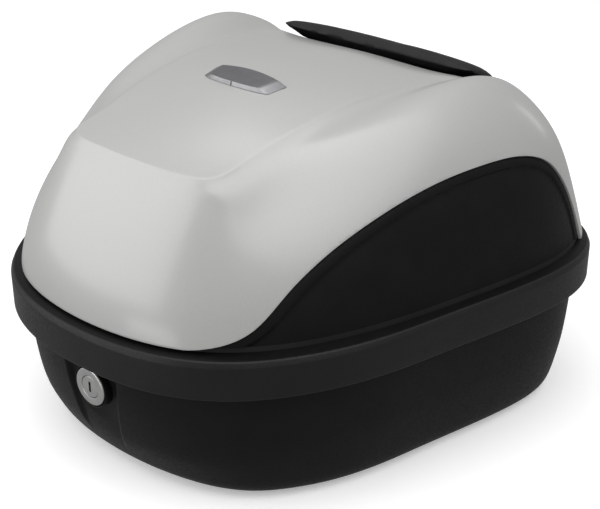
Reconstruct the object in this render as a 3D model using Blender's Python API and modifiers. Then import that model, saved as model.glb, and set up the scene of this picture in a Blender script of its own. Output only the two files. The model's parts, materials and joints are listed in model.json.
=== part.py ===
"""Scooter top case: a tub with a hinged lid, a painted cover, a backrest pad and a key lock.

Frame: metres, +Z up, the lock faces -Y, the hinge and the backrest pad are at +Y.
The origin is under the middle of the case, on the plane its four rubber pads stand on.
Sizes below are written in millimetres and scaled once, by MM.
"""
import math

import bmesh
import bpy
import numpy as np
from mathutils import Matrix, Vector

MM = 0.001
GAP = 0.35                      # clearance between pieces that touch

# Plan outline of the rim, right half, from the middle of the front to the middle of the rear.
RIM_OUTLINE = [(0, -229), (47, -225), (92, -211), (131, -184), (160, -147), (180, -108), (194, -66),
               (204, -24), (214, 18), (225, 70), (229, 120), (218, 163), (190, 193), (150, 211),
               (100, 220), (50, 223), (0, 223)]
RIM_STATIONS = 56

# Heights
PAD_HEIGHT = 3                  # the rubber pads under the tub
SKIRT_BOTTOM, SKIRT_TOP = 112, 146.4
LEDGE_UNDERSIDE = 140.8
TUB_TOP = 138
COVER_BOTTOM = 148.6
DOME_BOTTOM = 143

# Walls
WALL = 3.0
COVER_WALL = 2.4
DOME_INSET = 3.4                # the lid shell runs this far under the painted surface
DOME_WALL = 2.4
PANEL_INSET = 1.2               # the bare side panels lie this far under the painted surface
PANEL_WALL = 3.4

# Lock
LOCK_Z = 85.4
LOCK_FACE_Y = -216
RECESS_DEPTH = 5
RECESS_TOP = 115

# Latch lever
LEVER_PIVOT = (0, -176, 52)

# Hinges
HINGE_Y, HINGE_Z = 222.5, 105
HINGE_X = 75
KNUCKLE_R, PIN_R = 6.5, 2.4

# Release mechanism on the floor
RELEASE_PIVOT = (0, -96, 24)

# The painted surface, right half: rings from the rim up to the edge of the raised centre field.
# Each ring runs from the middle of the front, round the side, to the middle of the rear.
LID_RINGS = [
    [(0, -220, 147), (45, -216, 147), (88, -203, 147), (126, -176, 147), (158, -133, 147), (184, -72, 147),
     (203, 0, 147), (218, 72, 147), (220, 130, 147), (194, 183, 147), (120, 211, 147), (0, 215, 147)],
    [(0, -212, 180), (43, -209, 180), (83, -197, 180), (120, -169, 180), (152, -128, 180), (179, -70, 180),
     (198, 0, 180), (213, 70, 180), (214, 126, 180), (186, 178, 180), (116, 204, 180), (0, 206, 180)],
    [(0, -190, 222), (40, -188, 222), (78, -179, 220), (104, -152, 213), (137, -117, 219), (166, -66, 222),
     (187, 0, 223), (202, 67, 224), (203, 124, 222), (175, 168, 218), (110, 186, 218), (0, 188, 218)],
    [(0, -171, 249), (39, -169, 249), (76, -162, 247), (94, -140, 236), (117, -103, 247), (143, -60, 258),
     (164, 2, 265), (178, 61, 266), (183, 118, 260), (159, 157, 249), (106, 164, 252), (0, 166, 252)],
    [(0, -165, 256), (39, -163, 256), (76, -156.5, 254), (89, -134, 252), (102, -95, 264), (120, -53, 276),
     (135, 4, 287), (142, 56, 294), (146, 105, 291), (133, 143, 272), (102, 144, 262.5), (0, 146, 262)],
    [(0, -162, 259.5), (39, -160.5, 259.5), (75.5, -153, 258.5), (83.5, -126, 261), (91, -89, 270.5),
     (99, -45, 278), (105, 4, 283.5), (110, 51, 285), (113, 94, 281.5), (114, 127, 275), (90, 134, 268),
     (0, 136, 268)],
    [(0, -159.5, 262), (38, -157.5, 262), (75, -150, 262), (79, -120, 267.5), (82.5, -85, 276),
     (87, -41, 283.5), (91.5, 4, 287.5), (95.5, 49, 286), (99.5, 90, 282), (101, 118, 278.5),
     (72, 126, 273), (0, 128, 274)],
]
# Rows across the centre field, between its front and rear corners: half way out, and on the centre line.
FIELD_ROWS = [[(40, -122, 271), (0, -124, 272.5)], [(41, -86, 280), (0, -87, 282)],
              [(43, -41, 288.5), (0, -41, 291)], [(46, 4, 291), (0, 4, 294)],
              [(48, 49, 289), (0, 49, 292)], [(50, 88, 284.5), (0, 88, 287)]]
FRONT_CORNER, REAR_CORNER = 2, 9        # ring columns at the corners of the centre field
FRONT_CREASE = 0.62
SIDE_CREASES = (0.55, 0.5, 0.45, 0.42, 0.4, 0.35, 0.2)

# Side view (y, z) of the edge where the paint gives way to the bare side panel.
ARCH = [(-232, 143.2), (-212, 146.2), (-194, 150), (-178, 156), (-162, 167), (-141, 186.6), (-116, 204.4), (-88, 219.2),
        (-55, 231.8), (-20, 240.3), (15, 244.7), (50, 245.7), (76, 243.2), (97, 236.6), (113, 225.4), (127, 208),
        (138, 190), (147, 170), (153, 150), (156, 136)]
# Plan view (x, y) of the opening for the backrest, right half, from the front edge backwards.
BACKREST_OUTLINE = [(0, 124), (76, 123), (101, 124), (111, 131), (117, 150), (121, 175), (125, 200), (128, 250)]

PAINT = (0.56, 0.56, 0.54)
BLACK = (0.018, 0.018, 0.02)


# ---------------------------------------------------------------- helpers

def scaled(point):
    return Vector([c * MM for c in point])


def smooth_curve(points, per_span, closed):
    """Points on a uniform cubic spline that passes through the given points."""
    given = np.array(points, float)
    count = len(given)
    system = np.zeros((count, count))
    for i in range(count):
        if not closed and i in (0, count - 1):
            system[i, i] = 6
            continue
        system[i, i - 1] += 1
        system[i, i] += 4
        system[i, (i + 1) % count] += 1
    control = np.linalg.solve(system / 6, given)
    if not closed:
        control = np.vstack([2 * control[0] - control[1], control, 2 * control[-1] - control[-2]])
    spans = count if closed else count - 1
    first = -1 if closed else 0
    curve = []
    for span in range(spans):
        p = [control[(span + first + k) % len(control)] for k in range(4)]
        for step in range(per_span):
            t = step / per_span
            curve.append(((1 - t) ** 3 * p[0] + (3 * t ** 3 - 6 * t ** 2 + 4) * p[1]
                          + (-3 * t ** 3 + 3 * t ** 2 + 3 * t + 1) * p[2] + t ** 3 * p[3]) / 6)
    if not closed:
        curve.append(given[-1])
    return np.array(curve)


def mirrored(half):
    """A closed loop from its right half, whose first and last points are on the centre line."""
    return list(half) + [(-x, y) for x, y in reversed(half[1:-1])]


def resampled(loop, stations):
    """Points of a closed loop at the given fractions of its length."""
    closed = np.vstack([loop, loop[:1]])
    length = np.concatenate([[0], np.cumsum(np.hypot(*np.diff(closed, axis=0).T))])
    at = np.array(stations) * length[-1]
    return np.stack([np.interp(at, length, closed[:, 0]), np.interp(at, length, closed[:, 1])], -1)


def inward(loop):
    """Unit normals of a closed counter-clockwise loop, pointing to its inside."""
    along = np.roll(loop, -1, axis=0) - np.roll(loop, 1, axis=0)
    along /= np.linalg.norm(along, axis=1)[:, None]
    return np.stack([-along[:, 1], along[:, 0]], -1)


def even_stations(count):
    return [i / count for i in range(count)]


def lock_stations(count):
    """Even stations round the rim, with closer ones on both sides of the lock recess."""
    close = [0, 0.006, 0.012, 0.017, 0.021, 0.025, 0.030, 0.038]
    rest = [0.05 + 0.45 * i / count for i in range(count + 1)]
    half = close + rest
    return half + [1 - s for s in reversed(half[1:-1])]


OUTLINE = smooth_curve(mirrored(RIM_OUTLINE), 12, True)


def material(name, color, roughness, metallic=0.0):
    made = bpy.data.materials.get(name)
    if made:
        return made
    made = bpy.data.materials.new(name)
    made.use_nodes = True
    shader = made.node_tree.nodes["Principled BSDF"]
    shader.inputs["Base Color"].default_value = (*color, 1)
    shader.inputs["Roughness"].default_value = roughness
    shader.inputs["Metallic"].default_value = metallic
    return made


def keep(mesh, name, finish, group):
    """Put a mesh in the scene as a named object with one material."""
    piece = bpy.data.objects.new(name, mesh)
    group.objects.link(piece)
    if finish:
        mesh.materials.append(finish)
    if group is CUTTERS:
        piece.hide_render = True
        piece.display_type = "WIRE"
    return piece


def from_bmesh(bm, name, finish, group):
    bmesh.ops.recalc_face_normals(bm, faces=bm.faces)
    mesh = bpy.data.meshes.new(name)
    bm.to_mesh(mesh)
    bm.free()
    return keep(mesh, name, finish, group)


def tunnel(rings, name, finish, group, looped=False):
    """A closed solid through rings of equal length: capped at both ends, or looped into a torus."""
    bm = bmesh.new()
    rows = [[bm.verts.new(scaled(p)) for p in ring] for ring in rings]
    pairs = list(zip(rows, rows[1:])) + ([(rows[-1], rows[0])] if looped else [])
    for a, b in pairs:
        for j in range(len(a)):
            k = (j + 1) % len(a)
            bm.faces.new((a[j], a[k], b[k], b[j]))
    if not looped:
        bm.faces.new(rows[0])
        bm.faces.new(rows[-1])
    return from_bmesh(bm, name, finish, group)


def box(name, low, high, finish, group, bevel=0.0):
    bm = bmesh.new()
    size = [h - l for l, h in zip(low, high)]
    middle = [(h + l) / 2 for l, h in zip(low, high)]
    bmesh.ops.create_cube(bm, size=1)
    bmesh.ops.scale(bm, vec=scaled(size), verts=bm.verts)
    bmesh.ops.translate(bm, vec=scaled(middle), verts=bm.verts)
    piece = from_bmesh(bm, name, finish, group)
    if bevel:
        round_edges(piece, bevel)
    return piece


def round_edges(piece, width, segments=2):
    bevel = piece.modifiers.new("rounded", "BEVEL")
    bevel.width = width * MM
    bevel.segments = segments
    bevel.limit_method = "ANGLE"
    bevel.angle_limit = math.radians(40)


TURNS = {"X": Matrix.Rotation(math.radians(90), 4, "Y"), "Y": Matrix.Rotation(math.radians(-90), 4, "X"),
         "Z": Matrix.Identity(4)}


def cylinder(name, radius, start, length, axis, finish, group, segments=24):
    """A cylinder from its start point along +axis."""
    bm = bmesh.new()
    bmesh.ops.create_cone(bm, cap_ends=True, segments=segments, radius1=radius * MM, radius2=radius * MM,
                          depth=length * MM)
    bmesh.ops.translate(bm, vec=(0, 0, length * MM / 2), verts=bm.verts)
    bmesh.ops.transform(bm, matrix=Matrix.Translation(scaled(start)) @ TURNS[axis], verts=bm.verts)
    return from_bmesh(bm, name, finish, group)


def turned(name, profile, start, axis, finish, group, steps=24, closed=False):
    """A body turned about +axis from (radius, height) points that run up its outer side."""
    mesh = bpy.data.meshes.new(name)
    points = [(r * MM, 0, h * MM) for r, h in profile]
    edges = [(i, i + 1) for i in range(len(points) - 1)]
    if closed:
        edges.append((len(points) - 1, 0))
    mesh.from_pydata(points, edges, [])
    piece = keep(mesh, name, finish, group)
    piece.matrix_world = Matrix.Translation(scaled(start)) @ TURNS[axis]
    screw = piece.modifiers.new("turned", "SCREW")
    screw.steps = screw.render_steps = steps
    screw.use_merge_vertices = True
    screw.merge_threshold = 0.00001
    screw.use_normal_flip = True
    return piece


def plate(name, outline, low, thickness, axis, finish, group):
    """A flat plate: an outline in the two axes left of X, Y, Z, made thick along the named axis."""
    bm = bmesh.new()
    spot = {"X": lambda a, b: (low, a, b), "Y": lambda a, b: (a, low, b), "Z": lambda a, b: (a, b, low)}[axis]
    face = bm.faces.new([bm.verts.new(scaled(spot(a, b))) for a, b in outline])
    made = bmesh.ops.extrude_face_region(bm, geom=[face])
    shift = {"X": (thickness, 0, 0), "Y": (0, thickness, 0), "Z": (0, 0, thickness)}[axis]
    bmesh.ops.translate(bm, vec=scaled(shift), verts=[v for v in made["geom"] if isinstance(v, bmesh.types.BMVert)])
    return from_bmesh(bm, name, finish, group)


def cut(piece, cutter, operation="DIFFERENCE"):
    boolean = piece.modifiers.new(operation.lower(), "BOOLEAN")
    boolean.operation = operation
    boolean.object = cutter
    boolean.solver = "EXACT"


def baked(piece):
    """Replace an object's mesh by what its modifiers make of it."""
    bpy.context.view_layer.update()
    graph = bpy.context.evaluated_depsgraph_get()
    mesh = bpy.data.meshes.new_from_object(piece.evaluated_get(graph))
    piece.modifiers.clear()
    piece.data = mesh
    return piece


def joined(piece, others):
    """Union of a piece with others, which are consumed."""
    for other in others:
        cut(piece, other, "UNION")
    baked(piece)
    for other in others:
        bpy.data.objects.remove(other)
    return piece


def hung_on(pivot, name, pieces):
    """An empty on a joint's axis that carries the pieces of a moving body."""
    empty = bpy.data.objects.new(name, None)
    CASE.objects.link(empty)
    empty.location = scaled(pivot)
    bpy.context.view_layer.update()
    for piece in pieces:
        piece.parent = empty
        piece.matrix_parent_inverse = empty.matrix_world.inverted()


# ---------------------------------------------------------------- the lid's surface

def lid_cage(name, bottom, finish, group):
    """The open painted surface as a mirrored cage that subdivides to a surface through its points."""
    bm = bmesh.new()
    crease = bm.edges.layers.float.new("crease_edge")
    rings = [[(x, y, bottom) for x, y, _ in LID_RINGS[0]]] + LID_RINGS[1:]
    rows = [[bm.verts.new(scaled(p)) for p in ring] for ring in rings]
    for a, b in zip(rows, rows[1:]):
        for j in range(len(a) - 1):
            bm.faces.new((a[j], a[j + 1], b[j + 1], b[j]))
    edge = rows[-1]
    field = [[edge[FRONT_CORNER], edge[1], edge[0]]]
    for k, row in enumerate(FIELD_ROWS):
        field.append([edge[FRONT_CORNER + 1 + k]] + [bm.verts.new(scaled(p)) for p in row])
    field.append([edge[REAR_CORNER], edge[REAR_CORNER + 1], edge[REAR_CORNER + 2]])
    for a, b in zip(field, field[1:]):
        for j in range(FRONT_CORNER):
            bm.faces.new((a[j], b[j], b[j + 1], a[j + 1]))
    for j in range(FRONT_CORNER):
        bm.edges.get((edge[j], edge[j + 1]))[crease] = FRONT_CREASE
    for j, weight in enumerate(SIDE_CREASES):
        bm.edges.get((edge[FRONT_CORNER + j], edge[FRONT_CORNER + j + 1]))[crease] = weight
    piece = from_bmesh(bm, name, finish, group)
    mirror = piece.modifiers.new("both halves", "MIRROR")
    mirror.merge_threshold = 0.0001
    mirror.use_clip = True
    subdivide(piece, 1)
    draw_to_points(piece, 2)
    return piece


def subdivide(piece, levels):
    smooth = piece.modifiers.new("subdivided", "SUBSURF")
    smooth.levels = smooth.render_levels = levels
    smooth.boundary_smooth = "PRESERVE_CORNERS"


def draw_to_points(piece, rounds):
    """Move the cage outwards until its subdivided surface runs close to the points it was given."""
    targets = [v.co.copy() for v in piece.data.vertices]
    for _ in range(rounds):
        graph = bpy.context.evaluated_depsgraph_get()
        made = piece.evaluated_get(graph)
        surface = made.to_mesh()
        moves = [t - surface.vertices[i].co for i, t in enumerate(targets)]
        made.to_mesh_clear()
        for vertex, target, move in zip(piece.data.vertices, targets, moves):
            if target.x == 0:
                move.x = 0
            vertex.co += move
        piece.data.update()


def lid_layer(name, bottom, depth, wall, finish, group, outward=False):
    """A solid layer of the lid: its face lies depth under the painted surface."""
    piece = lid_cage(name, bottom, finish, group)
    if depth:
        sink = piece.modifiers.new("sunk", "DISPLACE")
        sink.direction = "NORMAL"
        sink.mid_level = 0
        sink.strength = -depth * MM
    thick = piece.modifiers.new("wall", "SOLIDIFY")
    thick.thickness = wall * MM
    thick.offset = 1 if outward else -1
    return piece


def arch_cutter(name, shrink):
    """The side panels' arch, run right through the case from side to side."""
    edge = smooth_curve(ARCH, 3, False)
    along = np.gradient(edge, axis=0)
    along /= np.linalg.norm(along, axis=1)[:, None]
    inner = edge + np.stack([along[:, 1], -along[:, 0]], -1) * shrink
    return plate(name, [tuple(p) for p in inner], -240, 480, "X", None, CUTTERS)


def backrest_cutter(name, shrink, top=320, bottom=100):
    half = smooth_curve(BACKREST_OUTLINE, 2, False)
    along = np.gradient(half, axis=0)
    along /= np.linalg.norm(along, axis=1)[:, None]
    inner = half + np.stack([-along[:, 1], along[:, 0]], -1) * shrink
    inner[0, 0] = 0
    loop = [tuple(p) for p in inner] + [(-x, y) for x, y in inner[:0:-1]]
    return plate(name, loop, bottom, top - bottom, "Z", None, CUTTERS)


# ---------------------------------------------------------------- the shells

END_SHARE = 2.75                # how sharply the tub's end profile takes over from its side profile


def recess(x, z):
    """How far the tub's front wall is set back round the lock."""
    width = 30 - 0.12 * (LOCK_Z - z)
    across = min(max((width - abs(x)) / 6, 0), 1)
    low = min(max((z - 18) / 34, 0), 1)
    return RECESS_DEPTH * across * across * (3 - 2 * across) * low * low * (3 - 2 * low)


def tub_ring(inset, end_inset, z, loop, normals):
    """One ring of the tub: set in by one distance at the sides and by another at the front and the back."""
    ends = np.abs(normals[:, 1]) ** END_SHARE
    flat = loop + normals * (inset + (end_inset - inset) * ends)[:, None]
    ring = []
    for x, y in flat:
        set_back = recess(x, z) if y < 0 and z < RECESS_TOP else 0
        ring.append((x, y + set_back, z))
    return ring


def lower_shell(finish):
    loop = resampled(OUTLINE, lock_stations(23))
    normals = inward(loop)
    outside = [(8.5, 8.5, TUB_TOP), (8.5, 8.5, 133), (12, 12, 130), (12, 12, 117), (12.2, 12.2, 112), (12.5, 13, 98),
               (13.4, 14.5, 80), (15, 18, 58), (17.4, 23, 40), (20.2, 31, 24), (23.5, 39, 12), (30, 53, 5),
               (44, 71, PAD_HEIGHT)]
    inside = [(45, 70, PAD_HEIGHT + WALL), (34.5, 55, 8.5), (28.5, 42.5, 14.5), (23.6, 34.5, 26), (20.6, 26.3, 41.5),
              (18.1, 21.1, 59), (16.4, 17.5, 81), (15.6, 15.9, 99), (15.3, 15.3, 112), (15.3, 15.3, 117),
              (15.3, 15.3, TUB_TOP)]
    rings = [tub_ring(side, end, z, loop, normals) for side, end, z in inside + outside]
    tub = tunnel(rings, "lower_shell", finish, CASE)
    cutters = [cylinder("lock_hole", 18.6, (0, -235, LOCK_Z), 40, "Y", None, CUTTERS, 32),
               box("latch_window", (-13, -124, -4), (13, -105, 12), None, CUTTERS),
               box("hook_slot_left", (-70, 92, -4), (-42, 104, 12), None, CUTTERS),
               box("hook_slot_right", (42, 92, -4), (70, 104, 12), None, CUTTERS)]
    for side in (-1, 1):
        for dx in (-13, 13):
            cutters.append(cylinder("tub_screw_hole", 2.3, (side * HINGE_X + dx, 196, 91), 20, "Y", None,
                                    CUTTERS, 12))
    for cutter in cutters:
        cut(tub, cutter)
    return tub


def skirt(finish):
    loop = resampled(OUTLINE, even_stations(RIM_STATIONS))
    normals = inward(loop)
    section = [(1.8, SKIRT_BOTTOM), (0.5, 113.6), (0, 117), (0, 139), (0.8, 142.2), (3.2, 144.6),
               (8.4, SKIRT_TOP), (16.5, SKIRT_TOP), (16.5, LEDGE_UNDERSIDE), (3.4, LEDGE_UNDERSIDE),
               (3.4, SKIRT_BOTTOM)]
    rings = [[(x, y, z) for x, y in loop + normals * inset] for inset, z in section]
    return tunnel(rings, "skirt", finish, CASE, looped=True)


def lid_shell(finish):
    shell = lid_layer("lid_shell", DOME_BOTTOM, DOME_INSET, DOME_WALL, finish, CASE)
    panels = lid_layer("side_panels", DOME_BOTTOM, PANEL_INSET, PANEL_WALL, finish, CASE)
    cut(panels, arch_cutter("panel_arch", 0.6), "INTERSECT")
    baked(panels)
    joined(shell, [skirt(finish), panels])
    for side in (-1, 1):
        for dx in (-12, 12):
            cut(shell, cylinder("skirt_screw_hole", 2.3, (side * HINGE_X + dx, 214, 127), 14, "Y", None,
                                CUTTERS, 12))
        cut(shell, cylinder("striker_screw_hole", 1.8, (side * 6.5, -220.4, 143.3), 20, "Y", None, CUTTERS, 12))
    return shell


def lid_cover(finish):
    cover = lid_layer("lid_cover", COVER_BOTTOM, 0, COVER_WALL, finish, CASE)
    cut(cover, arch_cutter("cover_arch", 0))
    cut(cover, backrest_cutter("backrest_opening", 0))
    return cover


def rim_seal(finish):
    loop = resampled(OUTLINE, even_stations(RIM_STATIONS))
    normals = inward(loop)
    section = [(9.6, TUB_TOP + GAP), (9.6, 140.2), (12, LEDGE_UNDERSIDE - GAP), (14.4, 140.2),
               (14.4, TUB_TOP + GAP)]
    rings = [[(x, y, z) for x, y in loop + normals * inset] for inset, z in section]
    return tunnel(rings, "rim_seal", finish, CASE, looped=True)


# ---------------------------------------------------------------- backrest and badge

def backrest_plate(finish):
    """The bare panel that closes the cover's rear opening and carries the pad."""
    panel = lid_layer("backrest_plate", COVER_BOTTOM, 0.4, 2.4, finish, CASE)
    cut(panel, backrest_cutter("backrest_edge", 0.6), "INTERSECT")
    return panel


# Backrest pad, right half: rows from its front lip, over its top and down to its bottom edge. Each row has
# its half width, (y, z) of its back and of its outer face, and how much the outer face falls to its ends.
PAD_ROWS = [(108, (127.5, 276), (124.9, 277), 0), (110, (133, 273), (125.3, 284), 4.5), (111, (140, 268), (133, 287.5), 5.5),
            (112, (150, 263.5), (147, 282.5), 5), (112, (171, 253), (174, 267), 4), (112, (194.5, 212), (202, 226), 3),
            (110, (205, 190), (214, 199), 2), (106, (209, 183.5), (214.5, 185.5), 1)]


def backrest_pad(finish):
    """A soft pad from a coarse cage: two skins joined round the edge, then subdivided."""
    bm = bmesh.new()
    across = (0, 0.5, 0.86, 1)
    skins = []
    for face in (1, 2):
        rows = []
        for row in PAD_ROWS:
            y, z = row[face]
            fall = row[3] if face == 2 else -1.5
            rows.append([bm.verts.new(scaled((row[0] * s, y, z - fall * s ** 4))) for s in across])
        for a, b in zip(rows, rows[1:]):
            for j in range(len(across) - 1):
                bm.faces.new((a[j], a[j + 1], b[j + 1], b[j]))
        skins.append(rows)
    back, front = skins
    rim = lambda rows: rows[0] + [r[-1] for r in rows[1:-1]] + rows[-1][::-1]
    for (a, b), (c, d) in zip(zip(rim(back), rim(back)[1:]), zip(rim(front), rim(front)[1:])):
        bm.faces.new((a, b, d, c))
    pad = from_bmesh(bm, "backrest_pad", finish, CASE)
    mirror = pad.modifiers.new("both halves", "MIRROR")
    mirror.merge_threshold = 0.0001
    subdivide(pad, 1)
    return pad


# Columns across the badge's right half: x, then the y of its front and rear edges.
BADGE_FOOT = [(0, -10.6, 18.2), (13, -10.1, 17.6), (24, -8.6, 16.2), (32, -6.4, 14.8), (35, -4.6, 14), (38, 12, 13.2)]
BADGE_TOP = [(0, -9.6, 16), (11, -9.2, 15.6), (20, -7.9, 14.6), (26.4, -6.3, 13.6), (28.2, -5.2, 13.2),
             (31, 12, 12.7)]
BADGE_MIDDLE = 3
BADGE_SEAT = (0, -40, 291.1)
BADGE_CROWN = 0.0014            # the badge bends down to its sides by this times x squared


def crowned_plate(levels, name, finish):
    """A closed plate through outlines (share of the way from foot to top, scale, height), bent to the cover."""
    rows = []
    bm = bmesh.new()
    for share, scale, height in levels:
        half = [[f + (t - f) * share for f, t in zip(foot, top)] for foot, top in zip(BADGE_FOOT, BADGE_TOP)]
        columns = [(-x, front, rear) for x, front, rear in half[:0:-1]] + half
        loop = [(x, front) for x, front, _ in columns] + [(x, rear) for x, _, rear in reversed(columns)]
        rows.append([bm.verts.new(scaled((x * scale, BADGE_MIDDLE + (y - BADGE_MIDDLE) * scale,
                                          height - BADGE_CROWN * x * x))) for x, y in loop])
    count = len(rows[0])
    for a, b in zip(rows, rows[1:]):
        for j in range(count):
            bm.faces.new((a[j], a[(j + 1) % count], b[(j + 1) % count], b[j]))
    for row in (rows[0], rows[-1]):
        for j in range(count // 2 - 1):
            bm.faces.new((row[j], row[j + 1], row[count - 2 - j], row[count - 1 - j]))
    piece = from_bmesh(bm, name, finish, CASE)
    piece.data.transform(Matrix.Translation(scaled(BADGE_SEAT)) @ Matrix.Rotation(math.radians(7), 4, "X"))
    return piece


def badge(finish, face_finish):
    """A blank badge: a frame with steep sides and wide sloping ends, and a separate face plate let into it."""
    frame = crowned_plate([(0, 1, 0), (0, 1, 0.8), (1, 1, 3.4), (1, 0.97, 3.4), (1, 0.97, 2.2)], "badge_frame", finish)
    face = crowned_plate([(1, 0.955, 2.55), (1, 0.955, 3.3), (1, 0.945, 3.5)], "badge_face", face_finish)
    return frame, face


# ---------------------------------------------------------------- lock and latch

def lock(zinc, silver, black):
    at = (0, LOCK_FACE_Y, LOCK_Z)
    housing = turned("lock_housing", [(16.8, 1), (18.2, 1), (18.2, 30), (11.5, 30), (11.5, 13), (16.8, 13)],
                     at, "Y", black, CASE, 32, closed=True)
    nut = turned("lock_nut", [(18.7, 12.9), (22.5, 12.9), (22.5, 16.5), (18.7, 16.5)], at, "Y", zinc, CASE, 32,
                 closed=True)
    button = turned("lock_button", [(9.6, 0), (15.7, 0), (16.3, 0.6), (16.3, 5), (11, 5), (11, 34), (9.6, 34)],
                    at, "Y", silver, CASE, 32, closed=True)
    plug = cylinder("key_plug", 9.25, (0, LOCK_FACE_Y - 0.3, LOCK_Z), 39.3, "Y", silver, CASE, 32)
    cut(plug, box("key_slot", (-1.1, LOCK_FACE_Y - 2, LOCK_Z - 4.5), (1.1, LOCK_FACE_Y + 14, LOCK_Z + 4.5),
                  None, CUTTERS))
    clip = turned("button_clip", [(11.35, 30.35), (14, 30.35), (14, 31.6), (11.35, 31.6)], at, "Y", zinc, CASE,
                  24, closed=True)
    spring = coil("button_spring", 14, 0.7, 5.3, 12.7, 3, at, zinc)
    return housing, nut, button, plug, clip, spring


def coil(name, radius, wire, low, high, turns, at, finish):
    """A compression spring along +Y, as a swept wire."""
    per_turn, sides = 10, 5
    total = turns * per_turn
    rings = []
    for i in range(total + 1):
        angle = 2 * math.pi * i / per_turn
        out = Vector((math.cos(angle), 0, math.sin(angle)))
        climb = low + wire + (high - low - 2 * wire) * i / total
        centre = Vector(at) + out * radius + Vector((0, climb, 0))
        rings.append([centre + wire * (out * math.cos(a) + Vector((0, math.sin(a), 0)))
                      for a in (2 * math.pi * k / sides for k in range(sides))])
    return tunnel(rings, name, finish, CASE)


def latch(steel, black):
    x, y, z = LEVER_PIVOT
    outline = [(y - 3.5, z - 6), (y + 5, z - 6), (y + 5, 128.5), (-202.4, 128.5), (-202.4, 126),
               (-199, 125), (y - 0.5, 125), (y - 0.5, z + 6), (y - 3.5, z + 5)]
    lever = plate("latch_lever", outline, -10, 20, "X", steel, CASE)
    cut(lever, cylinder("lever_bore", 2.8, (-20, y + 0.6, z), 40, "X", None, CUTTERS, 16))
    pin = cylinder("latch_pin", 2.45, (-16, y + 0.6, z), 32, "X", steel, CASE, 16)
    bracket = box("latch_bracket", (-16, -198.5, z - 8), (16, -196, z + 9), steel, CASE)
    ears = [box("ear", (side - 1.25, -198, z - 7), (side + 1.25, y + 6, z + 7), steel, CASE)
            for side in (-12.5, 12.5)]
    joined(bracket, ears)
    cut(bracket, cylinder("bracket_bore", 2.8, (-20, y + 0.6, z), 40, "X", None, CUTTERS, 16))
    striker = plate("latch_striker", [(-212, 122), (-203, 122), (-203, 124.5), (-209.4, 125), (-209.4, 146.2),
                                      (-212, 146.2)], -9, 18, "X", steel, CASE)
    screws = []
    for side, label in ((-1, "left"), (1, "right")):
        cut(striker, cylinder("striker_bore", 1.8, (side * 6.5, -220, 143.3), 20, "Y", None, CUTTERS, 12))
        screws.append(turned("striker_screw_" + label, [(0, 0), (1.45, 0), (1.45, 11.2), (2.6, 11.2),
                                                        (2.6, 12.2), (1.6, 12.9), (0, 13)],
                             (side * 6.5, -220, 143.3), "Y", steel, CASE, 12))
    return lever, pin, bracket, striker, screws


# ---------------------------------------------------------------- hinges

def hinge(side, label, steel, black):
    centre = side * HINGE_X
    bore = cylinder("hinge_bore", PIN_R + GAP, (centre - 40, HINGE_Y, HINGE_Z), 80, "X", None, CUTTERS, 20)
    lower = box("hinge_lower_" + label, (centre - 20, 211.4, 83), (centre + 20, 213.9, 103.5), black, CASE)
    arms = []
    for start in (-20, 7.2):
        arms.append(box("arm", (centre + start, 212.5, 98.7), (centre + start + 12.8, HINGE_Y, 103), black, CASE))
        arms.append(cylinder("knuckle", KNUCKLE_R, (centre + start, HINGE_Y, HINGE_Z), 12.8, "X", black, CASE))
    joined(lower, arms)
    upper = box("hinge_upper_" + label, (centre - 18, 223.6, 112.6), (centre + 18, 226, 136), black, CASE)
    tongue = box("tongue", (centre - 6.8, 223.6, 104), (centre + 6.8, 226, 114), black, CASE)
    knuckle = cylinder("knuckle", KNUCKLE_R, (centre - 6.8, HINGE_Y, HINGE_Z), 13.6, "X", black, CASE)
    joined(upper, [tongue, knuckle])
    screws = []
    for index, dx in enumerate((-1, 1)):
        lower_hole = cylinder("lower_hole", 2.3, (centre + dx * 13, 205, 91), 12, "Y", None, CUTTERS, 12)
        upper_hole = cylinder("upper_hole", 2.3, (centre + dx * 12, 218, 127), 12, "Y", None, CUTTERS, 12)
        cut(lower, lower_hole)
        cut(upper, upper_hole)
        profile = [(0, 0), (1.9, 0), (1.9, 8.8), (3.8, 8.8), (3.8, 9.6), (2.6, 10.8), (0, 11.2)]
        number = str(index + 1)
        screws.append(turned("tub_screw_" + label + "_" + number, profile, (centre + dx * 13, 205.5, 91), "Y",
                             steel, CASE, 12))
        short = [(r, h - 3) for r, h in profile[2:]]
        screws.append(turned("lid_screw_" + label + "_" + number, [(0, 0), (1.9, 0)] + short,
                             (centre + dx * 12, 220.6, 127), "Y", steel, CASE, 12))
    cut(lower, bore)
    cut(upper, bore)
    pin = cylinder("hinge_pin_" + label, PIN_R, (centre - 20.5, HINGE_Y, HINGE_Z), 41, "X", steel, CASE, 20)
    return lower, upper, pin, screws


# ---------------------------------------------------------------- floor

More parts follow.
